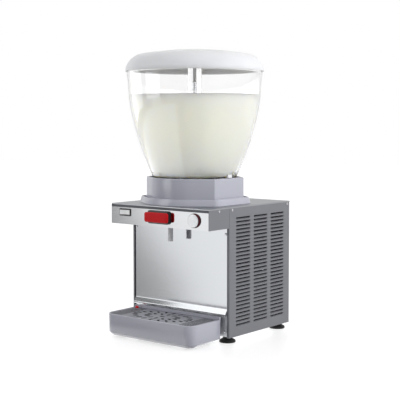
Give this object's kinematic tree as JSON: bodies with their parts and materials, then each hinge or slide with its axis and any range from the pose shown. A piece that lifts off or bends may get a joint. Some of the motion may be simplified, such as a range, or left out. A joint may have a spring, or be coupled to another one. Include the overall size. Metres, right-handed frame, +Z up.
{
  "type": "cold drink dispenser",
  "caption": "Chilled drink dispenser: clear bell-shaped bowl with lid on a louvred steel cabinet, with push button, spout and a removable drip tray.",
  "frame": {"origin": "middle of the footprint, on the surface that the feet stand on", "axes": "+Z up, front towards -Y, +X to the right seen from the front"},
  "size_m": [0.374, 0.41, 0.768],
  "materials": {
    "painted_steel": "satin grey paint",
    "brushed_steel": "horizontally brushed",
    "screw_steel": "bright zinc",
    "dark_seal": "matt rubber",
    "seal_silicone": "silicone",
    "grey_plastic": "satin moulding",
    "clear_plastic": "clear moulding",
    "drink": "opaque pale drink",
    "white_plastic": "satin white moulding",
    "red_plastic": "glossy red moulding",
    "black_plastic": "black moulding",
    "satin_cap": "satin turned",
    "foot_rubber": "black rubber",
    "stainless": "polished",
    "copper": "drawn copper",
    "fin_aluminium": "plain sheet",
    "compressor_black": "black enamel",
    "foam": "rigid foam",
    "acetal": "machined white",
    "board_green": "resist over glass fibre"
  },
  "bodies": {
    "cabinet": {"left_panel": "painted_steel", "right_panel": "painted_steel", "back_panel": "painted_steel", "base_pan": "painted_steel", "tray_support": "painted_steel", "header_shell": "painted_steel", "front_panel": "brushed_steel", "fascia": "brushed_steel", "top_cover": "brushed_steel", "casing_screws": "screw_steel", "fascia_seal": "dark_seal", "compressor_mounts": "dark_seal", "bowl_seal": "seal_silicone", "outlet_seal": "seal_silicone", "collar_base": "grey_plastic", "collar_ring": "grey_plastic", "spout": "white_plastic", "button_bezel": "black_plastic", "rocker_frame": "black_plastic", "button_switch": "black_plastic", "potentiometer": "black_plastic", "power_inlet": "black_plastic", "fan_motor": "black_plastic", "fan_shroud": "black_plastic", "solenoid_coil": "black_plastic", "evaporator": "stainless", "motor_bracket": "stainless", "gear_motor": "stainless", "evaporator_coil": "copper", "condenser_tube": "copper", "discharge_pipe": "copper", "suction_pipe": "copper", "filter_drier": "copper", "condenser_fins": "fin_aluminium", "compressor": "compressor_black", "foam_base": "foam", "shaft_bush": "acetal", "valve_body": "acetal", "control_board": "board_green"},
    "bowl": {"bowl": "clear_plastic", "drink_fill": "drink"},
    "lid": {"lid": "white_plastic"},
    "agitator": {"drive_shaft": "stainless", "agitator_tube": "clear_plastic", "agitator_paddle": "white_plastic"},
    "fan": {"fan_blade": "black_plastic"},
    "push_button": {"push_button": "red_plastic"},
    "knob": {"knob": "red_plastic", "knob_cap": "satin_cap"},
    "rocker": {"rocker": "white_plastic"},
    "drip_tray": {"drip_tray": "grey_plastic"},
    "drip_grille": {"drip_grille": "grey_plastic"},
    "tray_float": {"tray_float": "red_plastic"},
    "valve_plunger": {"valve_plunger": "stainless"},
    "foot_front_left": {"foot_front_left": "foot_rubber"},
    "foot_front_right": {"foot_front_right": "foot_rubber"},
    "foot_rear_left": {"foot_rear_left": "foot_rubber"},
    "foot_rear_right": {"foot_rear_right": "foot_rubber"}
  },
  "joints": [
    {"name": "bowl_lift", "type": "slide", "parent": "cabinet", "child": "bowl", "axis": [0, 0, 1], "range_m": [0, 0.3]},
    {"name": "lid_lift", "type": "slide", "parent": "bowl", "child": "lid", "axis": [0, 0, 1], "range_m": [0, 0.12]},
    {"name": "agitator_turn", "type": "hinge", "parent": "cabinet", "child": "agitator", "pos_m": [0, -0.007, 0.45], "axis": [0, 0, 1], "continuous": true},
    {"name": "fan_spin", "type": "hinge", "parent": "cabinet", "child": "fan", "pos_m": [-0.1, 0.0798, 0.1065], "axis": [1, 0, 0], "continuous": true},
    {"name": "button_press", "type": "slide", "parent": "cabinet", "child": "push_button", "axis": [0, 1, 0], "range_m": [0, 0.004], "stiffness_N_per_m": 600, "springref_m": -0.003},
    {"name": "plunger_open", "type": "slide", "parent": "cabinet", "child": "valve_plunger", "axis": [1, 0, 0], "range_m": [0, 0.005]},
    {"name": "knob_turn", "type": "hinge", "parent": "cabinet", "child": "knob", "pos_m": [0.1215, -0.157, 0.3243], "axis": [0, 1, 0], "range_deg": [-135, 135]},
    {"name": "rocker_tip", "type": "hinge", "parent": "cabinet", "child": "rocker", "pos_m": [-0.1173, -0.1558, 0.3324], "axis": [0, 0, 1], "range_deg": [-16, 0]},
    {"name": "tray_slide", "type": "slide", "parent": "cabinet", "child": "drip_tray", "axis": [0, -1, 0], "range_m": [0, 0.12]},
    {"name": "grille_lift", "type": "slide", "parent": "drip_tray", "child": "drip_grille", "axis": [0, 0, 1], "range_m": [0, 0.05]},
    {"name": "float_rise", "type": "slide", "parent": "drip_tray", "child": "tray_float", "axis": [0, 0, 1], "range_m": [0, 0.01]},
    {"name": "foot_front_left_turn", "type": "hinge", "parent": "cabinet", "child": "foot_front_left", "pos_m": [-0.146, -0.051, 0.01], "axis": [0, 0, 1], "continuous": true},
    {"name": "foot_front_right_turn", "type": "hinge", "parent": "cabinet", "child": "foot_front_right", "pos_m": [0.146, -0.051, 0.01], "axis": [0, 0, 1], "continuous": true},
    {"name": "foot_rear_left_turn", "type": "hinge", "parent": "cabinet", "child": "foot_rear_left", "pos_m": [-0.146, 0.177, 0.01], "axis": [0, 0, 1], "continuous": true},
    {"name": "foot_rear_right_turn", "type": "hinge", "parent": "cabinet", "child": "foot_rear_right", "pos_m": [0.146, 0.177, 0.01], "axis": [0, 0, 1], "continuous": true}
  ],
  "couplings": [
    {"joint": "plunger_open", "follows": "button_press", "ratio": 1.25}
  ]
}
